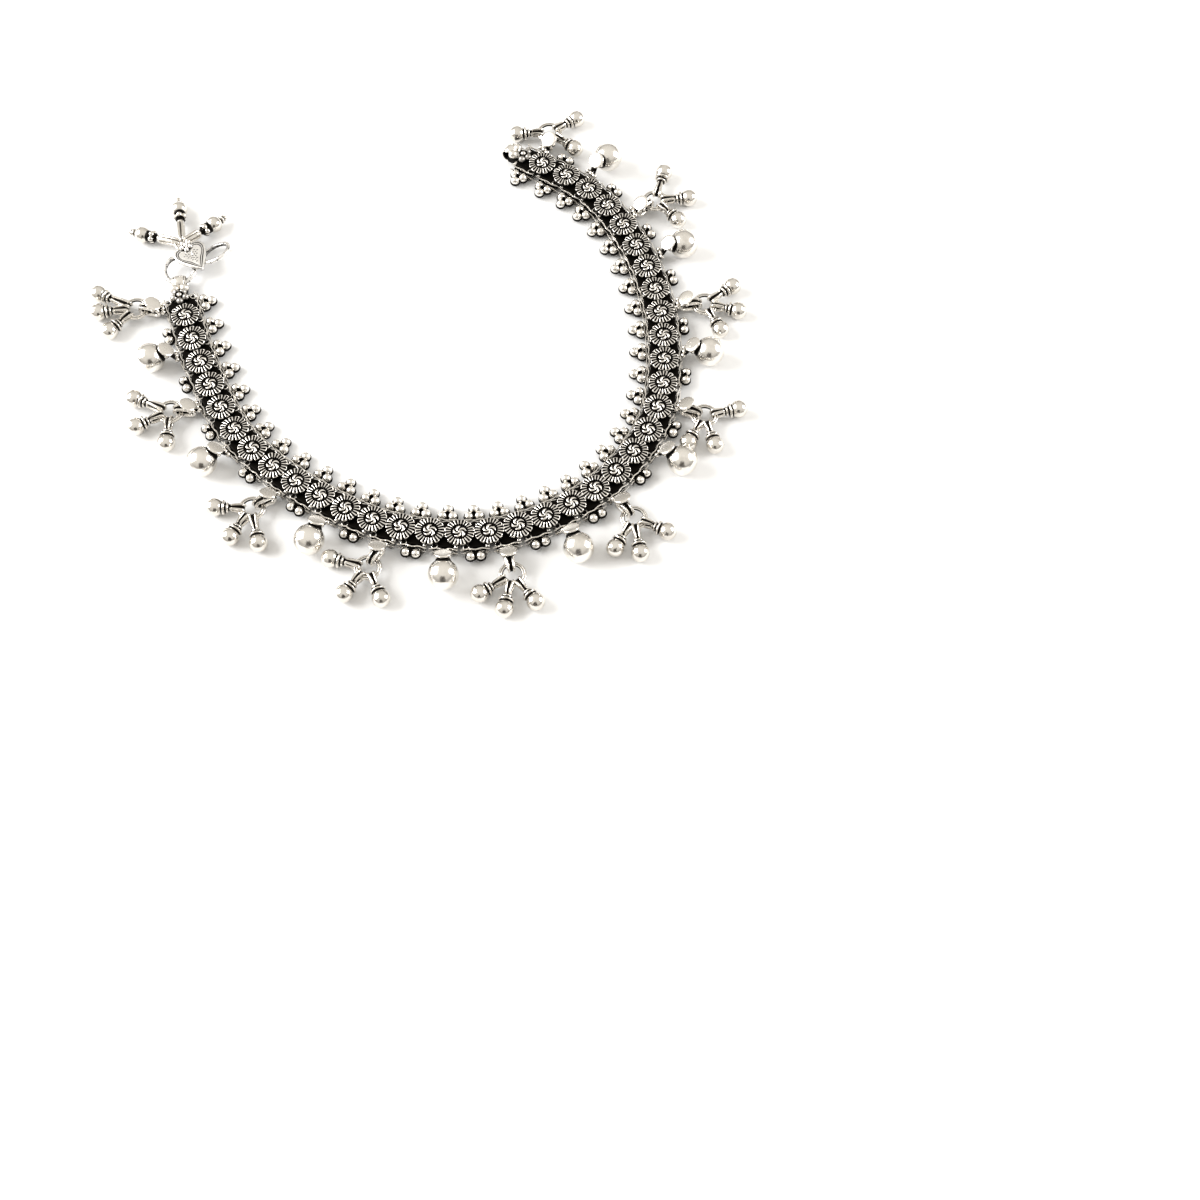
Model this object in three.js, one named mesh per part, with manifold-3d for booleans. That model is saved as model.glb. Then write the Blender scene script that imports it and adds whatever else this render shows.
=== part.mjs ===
// A payal anklet of oxidised white metal, lying open in a horseshoe. Millimetres, +Z up.
// Base plates are joined in a row. Each carries a rosette over the next joint, a trefoil of granules
// inside and, in a rhythm of four, a drop cluster, a granule pair, a bell and a granule pair outside.
import * as THREE from 'three';
import { mergeVertices } from 'three/addons/utils/BufferGeometryUtils.js';
import Module from 'manifold-3d';

const wasm = await Module();
wasm.setup();

// ---- driving sizes ---------------------------------------------------------------------------
const LINKS = 37;
const SLACK = 1.5; // how far the loose hinges let the links gather towards the middle of the row
const GAP = 0.3;
const FINEST = 0.08; // no facet edge is kept for a step smaller than this

// The line down the middle of the row, from the hook's end to the free end.
const ROUTE = [
  [-56.3, 13.5], [-48.7, -7.1], [-38.1, -26.4], [-21.1, -40.7], [-0.8, -50.1], [21.8, -50.8],
  [42.4, -40.6], [55.9, -22.1], [58.6, 0.7], [54.2, 23.4], [42.5, 43.3], [23.5, 56.6],
];

// Each size below is in millimetres and each tilt, lean or way in degrees; x runs outward, z up.
const PLATE = { reach: 4.3, half: 3.0, edge: 2.4, high: 2.4 };
const ROSETTE = { radius: 3.0, under: PLATE.high + GAP, rim: 3.4, top: 4.0, flat: 0.6, sides: 8 };
const ROSETTE_FOOT = { long: 2.6, wide: 1.6, sunk: 0.5, y: 1.7 };
const GRANULE = { radius: 1.1, near: 4.9, far: 6.1, apart: 1.1, inner: 1.5, outer: 1.8 };
const TAB = { disc: 1.85, thick: 0.45, reach: 6.5, sides: 8 };
const ARM = { start: 1.9, end: 6.3, wide: 1.2, high: 0.9, z: 1.7 };
const NECK = { reach: 5.9, long: 0.8, wide: 1.2, foot: 1.3 };
const DROP_TAB = { height: 4.75, tilt: 28 };
const BELL_TAB = { height: 5.65, tilt: 33 };
const STRAP = { width: 1.8, thick: 0.5, end: 4.2, low: 0.75, high: 3.0 };
const RING = { radius: 2.6, wire: 0.4, height: 2.1, offset: 4.6, inside: 0.6 };
const DROP = { ball: 2.05, collar: 1.7, eye: 0.75, neck: 1.2, sides: 6 };
const CAP = { rise: 1.0, flare: 0.6, under: 0.3, above: 0.2 };
const BALL = { band: 0.7, pole: 0.85, flat: 0.6 };
const BELL = { ball: 3.45, collar: 1.4, thick: 0.5, sunk: 0.1, reach: 10.6, pitchUp: 20 };
const END = { flower: 2.2, thick: 0.9, bead: 1.1, beadAt: 2.4, beadHeight: 2.9 };
const END_FOOT = { wide: 3.2, high: 2.0, postLong: 0.9, postWide: 2.4, postTop: 3.2 };
const BARREL = { radius: 1.9, bore: 1.4, length: 3.2, height: 1.9, sides: 12 };
const HOOK = { loop: 3.55, wire: 0.5, rise: 9, plateAt: 4.4, freeAt: 5.3, freeTurn: 26, freeHeight: 2.6 };
const HEART = { size: 4.2, base: 3.1, thick: 0.9, cleft: 0.55 };
const EYE = { radius: 1.2, out: 1.7, bridgeAt: 2.5, bridge: [2.0, 0.8, 0.7], lift: 0.4 };
const CHARM_RING = { radius: 1.7, wire: 0.35, inside: 0.4 };
const CHARM = { ball: 1.9, collar: 1.5, eye: 0.7, neck: 1.0, tip: 0.95, tipLength: 2.2, sides: 6 };
const CHARM_CLEAR = 0.1;

// Clusters: the link, how far its tab leans and its ring swings (degrees), then each drop's way and reach.
const CLUSTERS = [
  { link: 1, lean: -10, swing: -25, drops: [[-44, 10.4], [-13, 8.9], [30, 8.4]] },
  { link: 5, lean: 4, swing: -23, drops: [[-49, 9.4], [2, 8.4], [64, 8.4]] },
  { link: 9, lean: 10, swing: -20, drops: [[-56, 8.3], [6, 8.3], [51, 9]] },
  { link: 13, lean: 4, swing: -10, drops: [[-88, 8.7], [-20, 8.1], [41, 8.3]] },
  { link: 17, lean: -3, swing: -2, drops: [[-70, 8.4], [-24, 8.5], [25, 8.4]] },
  { link: 21, lean: -12, swing: -9, drops: [[-74, 8.6], [-36, 8.9], [21, 8.1]] },
  { link: 25, lean: -19, swing: -11, drops: [[-108, 8.1], [-64, 8.1], [24, 8.1]] },
  { link: 29, lean: -13, swing: -9, drops: [[28, 8.5], [-24, 8.1], [-75, 8.1]] },
  { link: 33, lean: -11, swing: 6, drops: [[42, 9.2], [-27, 8.4], [-80, 8.1]] },
  { link: 37, lean: -13, swing: 33, drops: [[-25, 8.1], [-97, 8.3], [126, 8.1]] },
];

// Bells: the link and how far its tab and bell lean (degrees).
const BELLS = [
  { link: 3, lean: -9 }, { link: 7, lean: -6 }, { link: 11, lean: 4 }, { link: 15, lean: 4 },
  { link: 19, lean: -4 }, { link: 23, lean: 0 }, { link: 27, lean: -8 }, { link: 31, lean: -3 },
  { link: 35, lean: -7 },
];

// The end pieces: the flower's place in pitches, the heading, where the foot starts and the barrel lies.
const ENDS = {
  clasp_end: { count: 0.13, heading: 98, clear: 1.0, reach: 4.6 },
  free_end: { count: LINKS - 0.2, heading: 150, clear: 1.5, reach: 3.6 },
};

// The clasp: the headings of the hook's loops, heart and charms, in degrees.
const CLASP = { loopSwing: 96, heartWay: 40, heartCleft: 126, freeWay: 24, freeLean: -30 };
const CHARMS = [{ way: 161, reach: 10.9 }, { way: 101, reach: 11.6 }, { way: 45, reach: 9.6 }];

const rad = THREE.MathUtils.degToRad;

// ---- finishes --------------------------------------------------------------------------------
const FINISH = {
  link: { color: 0x8f8c86, roughness: 0.42, metalness: 0.95 },
  bell: { color: 0xd9d5cc, roughness: 0.22, metalness: 1.0 },
  drop: { color: 0xcfcbc2, roughness: 0.26, metalness: 1.0 },
  hook: { color: 0xd2cec6, roughness: 0.3, metalness: 1.0 },
};

// ---- solids ----------------------------------------------------------------------------------
/** Moves a geometry: turned about Z, Y and X (degrees), then set at a place. */
function placed(geometry, [x, y, z], [rx, ry, rz] = [0, 0, 0]) {
  const turn = new THREE.Euler(rad(rx), rad(ry), rad(rz), 'ZYX');
  geometry.applyMatrix4(new THREE.Matrix4().makeRotationFromEuler(turn).setPosition(x, y, z));
  return geometry;
}

/** A manifold solid of a closed three.js geometry. */
function solid(geometry) {
  const bare = geometry.clone();
  bare.deleteAttribute('normal');
  bare.deleteAttribute('uv');
  const merged = mergeVertices(bare, 1e-4);
  return new wasm.Manifold(new wasm.Mesh({
    numProp: 3,
    vertProperties: new Float32Array(merged.attributes.position.array),
    triVerts: new Uint32Array(merged.index.array),
  }));
}

/** One solid of several closed geometries that overlap. */
function joined(geometries) {
  return geometries.map(solid).reduce((whole, piece) => whole.add(piece)).simplify(FINEST);
}

/** A named mesh of a manifold solid. */
function meshOf(name, shape, finish) {
  const { vertProperties, triVerts, numProp } = shape.getMesh();
  const points = new Float32Array((vertProperties.length / numProp) * 3);
  for (let i = 0; i < points.length / 3; i += 1) {
    for (let axis = 0; axis < 3; axis += 1) points[3 * i + axis] = vertProperties[numProp * i + axis];
  }
  const geometry = new THREE.BufferGeometry();
  geometry.setAttribute('position', new THREE.BufferAttribute(points, 3));
  geometry.setIndex(new THREE.BufferAttribute(new Uint32Array(triVerts), 1));
  geometry.computeVertexNormals();
  const mesh = new THREE.Mesh(geometry, new THREE.MeshStandardMaterial(FINISH[finish]));
  mesh.name = name;
  return mesh;
}

// ---- simple shapes, each at the origin ---------------------------------------------------------
const ball = (radius, around, down) => new THREE.SphereGeometry(radius, around, down);
const granule = (radius) => new THREE.IcosahedronGeometry(radius, 0);
const bar = (x, y, z) => new THREE.BoxGeometry(x, y, z);

/** A round disc or rod standing on its middle, its axis along Z. */
function disc(radius, thick, sides) {
  return new THREE.CylinderGeometry(radius, radius, thick, sides).rotateX(Math.PI / 2);
}

/** A closed wire ring lying in XY. */
const wireRing = (radius, wire, sides, around) => new THREE.TorusGeometry(radius, wire, sides, around);

/** A flat outline pushed up from z = base to z = top. */
function slab(outline, base, top) {
  const shape = new THREE.Shape(outline.map(([x, y]) => new THREE.Vector2(x, y)));
  const geometry = new THREE.ExtrudeGeometry(shape, { depth: top - base, bevelEnabled: false });
  return geometry.translate(0, 0, base);
}

// ---- the route -------------------------------------------------------------------------------
const route = new THREE.CatmullRomCurve3(
  ROUTE.map(([x, y]) => new THREE.Vector3(x, y, 0)), false, 'catmullrom', 0.5,
);
route.arcLengthDivisions = 2000;

/** The place and heading (degrees) on the route, count pitches from its start; local X points outward. */
function station(count) {
  const share = count / LINKS + (SLACK * Math.sin((2 * Math.PI * count) / LINKS)) / route.getLength();
  const along = Math.min(Math.max(share, 0), 1);
  const way = route.getTangentAt(along);
  return { place: route.getPointAt(along), heading: THREE.MathUtils.radToDeg(Math.atan2(-way.x, way.y)) };
}

/** A point of the base plane, away from a place by some reach along a heading (degrees). */
function away(place, reach, heading) {
  return [place[0] + reach * Math.cos(rad(heading)), place[1] + reach * Math.sin(rad(heading))];
}

/** Puts a mesh at a station, resting as it was drawn. */
function setAt(mesh, { place, heading }) {
  mesh.position.set(place.x, place.y, 0);
  mesh.rotation.z = rad(heading);
  return mesh;
}

// ---- pieces of a link, in the link's frame: X outward, Y along the row --------------------------
/** The stacked cross plates as one block, bowed at its ends so that the row can bend. */
function plates() {
  const { reach, half, edge, high } = PLATE;
  const outline = [[-reach, -edge], [0, -half], [reach, -edge], [reach, edge], [0, half], [-reach, edge]];
  return slab(outline, 0, high);
}

/** The domed rosette over the joint with the next link, and the foot that holds it. */
function rosette(count) {
  const here = station(count - 0.5);
  const next = station(count);
  const turn = -rad(here.heading);
  const step = next.place.clone().sub(here.place).applyAxisAngle(new THREE.Vector3(0, 0, 1), turn);
  const { radius, under, rim, top, flat, sides } = ROSETTE;
  const profile = [[0, under], [radius, under], [radius, rim], [radius * flat, top], [0, top]];
  const points = profile.map(([r, z]) => new THREE.Vector2(r, z));
  const dome = new THREE.LatheGeometry(points, sides).rotateX(Math.PI / 2);
  const { long, wide, sunk, y } = ROSETTE_FOOT;
  return [
    dome.translate(step.x, step.y, 0),
    placed(bar(long, wide, under - PLATE.high + sunk), [0, y, (under + PLATE.high) / 2]),
  ];
}

/** Granules soldered to the plates' inner (-1) or outer (1) end: two side by side, and one beyond them. */
function granules(side, withFar) {
  const { radius, near, far, apart } = GRANULE;
  const height = side < 0 ? GRANULE.inner : GRANULE.outer;
  const places = [[near, -apart], [near, apart]];
  if (withFar) places.push([far, 0]);
  return places.map(([x, y]) => placed(granule(radius), [side * x, y, height]));
}

/** A tab with its polished disc, leaning round the link's middle. */
function tab(lean, { height, tilt }) {
  const discAt = away([0, 0], TAB.reach, lean);
  const neckAt = away([0, 0], NECK.reach, lean);
  const armAt = away([0, 0], (ARM.start + ARM.end) / 2, lean);
  const neckTop = height - (TAB.reach - NECK.reach) * Math.tan(rad(tilt));
  const neck = bar(NECK.long, NECK.wide, neckTop - NECK.foot);
  return [
    placed(bar(ARM.end - ARM.start, ARM.wide, ARM.high), [...armAt, ARM.z], [0, 0, lean]),
    placed(neck, [...neckAt, (neckTop + NECK.foot) / 2], [0, 0, lean]),
    placed(disc(TAB.disc, TAB.thick, TAB.sides), [...discAt, height], [0, -tilt, lean]),
  ];
}

/** The closed strap that runs out of a tab, over, round and back under a cluster's ring. */
function strap(lean, swing) {
  const start = away([0, 0], NECK.reach, lean);
  const length = STRAP.end;
  const middle = away(start, length / 2, swing);
  const end = away(start, length - STRAP.thick / 2, swing);
  const { width, thick, low, high } = STRAP;
  return [
    placed(bar(length, width, thick), [...middle, high + thick / 2], [0, 0, swing]),
    placed(bar(length, width, thick), [...middle, low + thick / 2], [0, 0, swing]),
    placed(bar(thick, width, high + thick - low), [...end, (high + thick + low) / 2], [0, 0, swing]),
    placed(bar(NECK.long, NECK.wide, high + thick - low), [...start, (high + thick + low) / 2], [0, 0, lean]),
  ];
}

/** A whole link: plates, trefoil, what hangs it on its outer side, and its rosette if it has one. */
function link(count) {
  const cluster = CLUSTERS.find((row) => row.link === count);
  const bell = BELLS.find((row) => row.link === count);
  const pieces = [plates(), ...granules(-1, true)];
  if (cluster) pieces.push(...tab(cluster.lean, DROP_TAB), ...strap(cluster.lean, cluster.swing));
  else if (bell) pieces.push(...tab(bell.lean, BELL_TAB));
  else pieces.push(...granules(1, false));
  if (count < LINKS) pieces.push(...rosette(count));
  const name = `link_${String(count).padStart(2, '0')}`;
  return setAt(meshOf(name, joined(pieces), 'link'), station(count - 0.5));
}

// ---- hanging pieces, each in its link's frame ---------------------------------------------------
/** A bell: a ball on the floor with a collar that points up at its tab. */
function bell({ link: count, lean }, order) {
  const centre = [...away([0, 0], BELL.reach, lean), BELL.ball];
  const rise = BELL.pitchUp;
  const out = BELL.ball - BELL.sunk;
  const collarAt = away([0, 0], BELL.reach - out * Math.cos(rad(rise)), lean);
  const height = BELL.ball + out * Math.sin(rad(rise));
  const collar = placed(disc(BELL.collar, BELL.thick, 6), [...collarAt, height], [0, rise - 90, lean]);
  const shape = joined([placed(ball(BELL.ball, 9, 6), centre), collar]);
  return setAt(meshOf(`bell_${String(order).padStart(2, '0')}`, shape, 'bell'), station(count - 0.5));
}

/** A drop turned round its own axis: an eye, a flared collar, a ball, and a tip if it has one. */
function turnedDrop(start, reach, { ball: radius, collar, eye, neck, tip = 0, tipLength = 0, sides }) {
  const rim = reach - radius - CAP.above;
  const profile = [
    [0, start], [eye, start], [eye, rim - CAP.rise], [collar, rim - CAP.flare], [neck, rim + CAP.under],
    [radius, reach - BALL.band], [radius, reach + BALL.band],
    [tip || radius * BALL.flat, reach + radius * BALL.pole],
  ];
  if (tip) profile.push([tip * BALL.flat, reach + radius + tipLength]);
  profile.push([0, reach + radius + tipLength]);
  const points = profile.map(([r, along]) => new THREE.Vector2(r, along));
  return new THREE.LatheGeometry(points, sides).rotateZ(-Math.PI / 2);
}

/** A cluster: a jump ring with three drops, lying flat. */
function cluster({ link: count, lean, swing, drops }, order) {
  const from = away(away([0, 0], TAB.reach, lean), RING.offset, swing);
  const pieces = [placed(wireRing(RING.radius, RING.wire, 4, 10), [...from, RING.height])];
  for (const [way, reach] of drops) {
    const drop = turnedDrop(RING.radius - RING.inside, reach, DROP);
    pieces.push(placed(drop, [...from, RING.height], [0, 0, way]));
  }
  const name = `drop_cluster_${String(order).padStart(2, '0')}`;
  return setAt(meshOf(name, joined(pieces), 'drop'), station(count - 0.5));
}

/** An end piece along +X: a granule flower over the last link, two granules and a barrel across. */
function endPiece(name, { count, heading, clear, reach }) {
  const { flower, thick, bead, beadAt, beadHeight } = END;
  const { wide, high, postLong, postWide, postTop } = END_FOOT;
  const across = (radius, long) => new THREE.CylinderGeometry(radius, radius, long, BARREL.sides);
  const pieces = [
    placed(bar(reach - clear, wide, high), [(reach + clear) / 2, 0, high / 2]),
    placed(bar(postLong, postWide, postTop - high / 2), [clear + postLong / 2, 0, (postTop + high / 2) / 2]),
    placed(disc(flower, thick, 10), [0, 0, ROSETTE.under + thick / 2]),
    placed(granule(bead), [beadAt, -bead, beadHeight]),
    placed(granule(bead), [beadAt, bead, beadHeight]),
    placed(across(BARREL.radius, BARREL.length), [reach, 0, BARREL.height]),
  ];
  const bore = placed(across(BARREL.bore, 2 * BARREL.length), [reach, 0, BARREL.height]);
  const shape = joined(pieces).subtract(solid(bore));
  const mesh = meshOf(name, shape, 'link');
  mesh.position.copy(station(count).place);
  mesh.rotation.z = rad(heading);
  return mesh;
}

/** A heart outline, its cleft towards +X and its tip towards -X. */
function heart(size) {
  const lobe = [[0.86, 0.22], [0.95, 0.5], [0.75, 0.82], [0.4, 0.9], [-0.1, 0.72], [-0.6, 0.35]];
  const half = [[HEART.cleft, 0], ...lobe];
  const outline = [...half, [-1, 0], ...half.slice(1).reverse().map(([x, y]) => [x, -y])];
  return outline.map(([x, y]) => [x * size, y * size]);
}

/** Where the hook's parts lie, worked out from the end piece's barrel. */
function claspPlan() {
  const { count, heading, reach } = ENDS.clasp_end;
  const start = station(count).place;
  const barrel = away([start.x, start.y], reach, heading);
  const loop = away(barrel, HOOK.loop, CLASP.loopSwing);
  const plate = away(loop, HOOK.plateAt, CLASP.heartWay);
  const free = away(plate, HOOK.freeAt, CLASP.freeWay);
  const eye = away(plate, HEART.size * HEART.cleft + EYE.out, CLASP.heartCleft);
  const ring = away(eye, CHARM_RING.radius, CLASP.heartCleft);
  return { loop, plate, free, eye, ring };
}

/** The S-shaped hook: a loop in the barrel, a heart plate and a free loop, soldered as one. */
function hook({ loop, plate, free, eye }) {
  const { wire, rise, freeHeight } = HOOK;
  const cleft = CLASP.heartCleft;
  const loopHeight = BARREL.height + HOOK.loop * Math.sin(rad(rise));
  const bridgeAt = away(plate, EYE.bridgeAt, cleft);
  const wireLoop = () => wireRing(HOOK.loop, wire, 5, 18);
  const pieces = [
    placed(wireLoop(), [...loop, loopHeight], [0, -rise, CLASP.loopSwing]),
    placed(slab(heart(HEART.size), 0, HEART.thick), [...plate, HEART.base], [0, 0, cleft]),
    placed(wireLoop(), [...free, freeHeight], [CLASP.freeLean, 0, CLASP.freeWay + HOOK.freeTurn]),
    placed(bar(...EYE.bridge), [...bridgeAt, HEART.base + EYE.lift], [0, 0, cleft]),
    placed(wireRing(EYE.radius, CHARM_RING.wire, 4, 10), [...eye, HEART.base], [90, 0, cleft]),
  ];
  return meshOf('clasp_hook', joined(pieces), 'hook');
}

/** The clasp's charms: a small ring through the hook's eye with three tipped drops that lie down. */
function claspCharms({ ring }) {
  const height = HEART.base;
  const pieces = [placed(wireRing(CHARM_RING.radius, CHARM_RING.wire, 4, 12), [...ring, height])];
  for (const { way, reach } of CHARMS) {
    const fall = THREE.MathUtils.radToDeg(Math.asin((height - CHARM.ball - CHARM_CLEAR) / reach));
    const drop = turnedDrop(CHARM_RING.radius - CHARM_RING.inside, reach, CHARM);
    pieces.push(placed(drop, [...ring, height], [0, fall, way]));
  }
  return meshOf('clasp_charms', joined(pieces), 'drop');
}

// ---- the anklet ------------------------------------------------------------------------------
const row = new THREE.Group();
for (let count = 1; count <= LINKS; count += 1) row.add(link(count));
BELLS.forEach((hung, i) => row.add(bell(hung, i + 1)));
CLUSTERS.forEach((hung, i) => row.add(cluster(hung, i + 1)));
for (const [name, end] of Object.entries(ENDS)) row.add(endPiece(name, end));
const plan = claspPlan();
row.add(hook(plan), claspCharms(plan));

// The frame's origin is under the middle of the whole anklet's box.
const middle = new THREE.Box3().setFromObject(row, true).getCenter(new THREE.Vector3());
row.position.set(-middle.x, -middle.y, 0);
const anklet = new THREE.Group().add(row);

export default anklet;
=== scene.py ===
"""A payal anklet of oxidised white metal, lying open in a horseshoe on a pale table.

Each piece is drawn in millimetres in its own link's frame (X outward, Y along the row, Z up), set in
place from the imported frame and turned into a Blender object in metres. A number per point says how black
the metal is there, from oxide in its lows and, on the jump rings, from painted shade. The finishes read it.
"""

import logging
import math
from dataclasses import dataclass, field
from enum import Enum
from typing import Callable, Iterable, Sequence

import bpy
import numpy as np
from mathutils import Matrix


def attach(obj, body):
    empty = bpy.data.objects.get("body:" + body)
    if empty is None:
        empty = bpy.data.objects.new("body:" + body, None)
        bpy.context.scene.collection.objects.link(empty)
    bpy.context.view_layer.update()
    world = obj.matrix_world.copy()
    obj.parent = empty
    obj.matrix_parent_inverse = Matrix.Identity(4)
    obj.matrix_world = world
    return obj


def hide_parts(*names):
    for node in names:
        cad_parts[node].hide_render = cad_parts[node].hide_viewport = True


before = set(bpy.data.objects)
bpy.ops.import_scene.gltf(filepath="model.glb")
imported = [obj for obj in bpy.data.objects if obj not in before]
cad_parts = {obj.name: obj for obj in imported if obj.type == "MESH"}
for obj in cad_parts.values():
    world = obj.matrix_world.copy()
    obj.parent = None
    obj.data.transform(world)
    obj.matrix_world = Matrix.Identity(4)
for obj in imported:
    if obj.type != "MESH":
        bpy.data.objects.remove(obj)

LOG = logging.getLogger("payal")
MM = 0.001
LINKS = 37

Point = tuple[float, float]
Place = tuple[float, float, float]


# ---- shapes ----------------------------------------------------------------------------------
@dataclass
class Shape:
    """Closed skins in millimetres, with how black each point is.

    Attributes:
        points: Corner places, one row each.
        quads: Four-sided faces as rows of corner numbers.
        tris: Three-sided faces as rows of corner numbers.
        oxide_and_shade: 0 where the metal is polished, 1 where it is black; oxide, and painted shade on the
            jump rings.
    """

    points: np.ndarray
    quads: np.ndarray
    tris: np.ndarray
    oxide_and_shade: np.ndarray

    def moved(self, place: Place, turns: Place = (0.0, 0.0, 0.0)) -> "Shape":
        """Turns the shape about X, Y and Z in that order, then sets it at a place.

        Args:
            place: Where the shape's origin goes.
            turns: Turns in degrees.

        Returns:
            The moved shape.
        """
        matrix = np.eye(3)
        for axis, turn in enumerate(turns):
            matrix = axis_turn(axis, turn) @ matrix
        return Shape(self.points @ matrix.T + np.array(place), self.quads, self.tris, self.oxide_and_shade)

    def blackened(self, rule: Callable[[np.ndarray], np.ndarray]) -> "Shape":
        """The same shape made blacker by a rule that reads the points, for oxide and, on the jump rings, for
        painted shade.
        """
        return Shape(self.points, self.quads, self.tris,
                     np.clip(np.maximum(self.oxide_and_shade, rule(self.points)), 0, 1))


def axis_turn(axis: int, degrees: float) -> np.ndarray:
    """The matrix that turns about one axis.

    Args:
        axis: 0 for X, 1 for Y, 2 for Z.
        degrees: The turn, by the right-hand rule.

    Returns:
        A 3 by 3 matrix.
    """
    a, b = (axis + 1) % 3, (axis + 2) % 3
    matrix = np.eye(3)
    matrix[a, a] = matrix[b, b] = math.cos(math.radians(degrees))
    matrix[b, a] = math.sin(math.radians(degrees))
    matrix[a, b] = -matrix[b, a]
    return matrix


def smooth(low: float, high: float, value: np.ndarray) -> np.ndarray:
    """A soft step from 0 at low to 1 at high, which may run downwards."""
    share = np.clip((value - low) / (high - low), 0, 1)
    return share * share * (3 - 2 * share)


def joined(shapes: Iterable[Shape]) -> Shape:
    """Several shapes as one, with their corners renumbered."""
    points, quads, tris, oxide_and_shade, start = [], [], [], [], 0
    for shape in shapes:
        points.append(shape.points)
        quads.append(shape.quads + start)
        tris.append(shape.tris + start)
        oxide_and_shade.append(shape.oxide_and_shade)
        start += len(shape.points)
    return Shape(np.vstack(points), np.vstack(quads), np.vstack(tris), np.concatenate(oxide_and_shade))


def skin(rings: np.ndarray, oxide_and_shade: np.ndarray, closed: bool = False) -> Shape:
    """Joins rings of points into one closed skin.

    Args:
        rings: Rings by points by XYZ, each ring going left round the way in which the rings follow.
        oxide_and_shade: Rings by points, or one value a ring.
        closed: Whether the last ring joins the first; if not, both ends are capped.

    Returns:
        The skin, facing out.
    """
    count, sides, _ = rings.shape
    oxide_and_shade = np.broadcast_to(oxide_and_shade.reshape(count, -1), (count, sides)).flatten()
    points = rings.reshape(-1, 3)
    here = np.arange(count if closed else count - 1)[:, None]
    side = np.arange(sides)[None, :]
    follow, beside = (here + 1) % count, (side + 1) % sides
    corners = (here * sides + side, here * sides + beside, follow * sides + beside, follow * sides + side)
    quads = np.stack(np.broadcast_arrays(*corners), axis=-1).reshape(-1, 4)
    tris = np.zeros((0, 3), dtype=int)
    if not closed:
        row, low, high = np.arange(sides), len(points), len(points) + 1
        last = (count - 1) * sides
        nearby = (row + 1) % sides
        low_fan = np.stack([np.full(sides, low), nearby, row], axis=1)
        high_fan = np.stack([np.full(sides, high), last + row, last + nearby], axis=1)
        tris = np.vstack([low_fan, high_fan])
        points = np.vstack([points, rings[0].mean(0), rings[-1].mean(0)])
        oxide_and_shade = np.append(oxide_and_shade, [oxide_and_shade[:sides].mean(), oxide_and_shade[last:].mean()])
    return Shape(points, quads, tris, oxide_and_shade)


def turned(profile: Sequence[Place], sides: int) -> Shape:
    """A shape turned round Z.

    Args:
        profile: Radius, height and grime, from the foot up and in to the top.
        sides: Points in each ring.

    Returns:
        The closed shape.
    """
    rows = np.array(profile, dtype=float)
    angle = np.arange(sides) * 2 * math.pi / sides
    circle = np.stack([np.cos(angle), np.sin(angle)], axis=1)
    rings = np.zeros((len(rows), sides, 3))
    rings[:, :, :2] = rows[:, None, :1] * circle[None]
    rings[:, :, 2] = rows[:, 1:2]
    return skin(rings, rows[:, 2])


def ball_profile(radius: float, start: float, centre: float, steps: int, seam: float) -> list[Place]:
    """The profile of a ball with a rolled seam round it.

    Args:
        radius: The ball's radius.
        start: The radius of the opening where the ball begins.
        centre: The height of its centre.
        steps: Rings from the opening to the far pole.
        seam: How far past its middle the seam lies, as a share of the radius.

    Returns:
        Radius, height and grime of each ring.
    """
    first = math.asin(min(1.0, start / radius))
    profile = []
    seam_at = math.acos(-seam)
    for angle in np.linspace(first, math.pi - 0.04, steps):
        off = (angle - seam_at) * radius
        ridge = 0.045 * math.exp(-((off / 0.13) ** 2)) - 0.03 * math.exp(-(((off + 0.26) / 0.09) ** 2))
        oxide_and_shade = (0.3 * math.exp(-(((off + 0.26) / 0.1) ** 2))
                 + 0.75 * math.exp(-(((angle - first) / 0.12) ** 2)))
        reach = radius + ridge
        profile.append((reach * math.sin(angle), centre - reach * math.cos(angle), min(1.0, oxide_and_shade)))
    return profile


def granule(radius: float, around: int = 18, up: int = 12) -> Shape:
    """A soldered grain, blackened where it meets what it sits on."""
    rows = [
        (radius * math.sin(a), -radius * math.cos(a), float(smooth(0.3, -0.35, np.array(-math.cos(a)))))
        for a in np.linspace(0.12, math.pi - 0.12, up)
    ]
    return turned(rows, around)


def slab(outline: np.ndarray, layers: Sequence[Place]) -> Shape:
    """A flat outline round the origin, built up in layers.

    Args:
        outline: Points by XY, going left round, each in sight of the origin.
        layers: How far each layer is drawn in towards the origin, its height and its grime, foot first.

    Returns:
        The closed slab.
    """
    reach = np.linalg.norm(outline, axis=1)[:, None]
    rings = np.zeros((len(layers), len(outline), 3))
    for ring, (inset, height, _) in zip(rings, layers):
        ring[:, :2] = outline * np.maximum(1 - inset / reach, 0.05)
        ring[:, 2] = height
    return skin(rings, np.array([layer[2] for layer in layers]))


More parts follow.
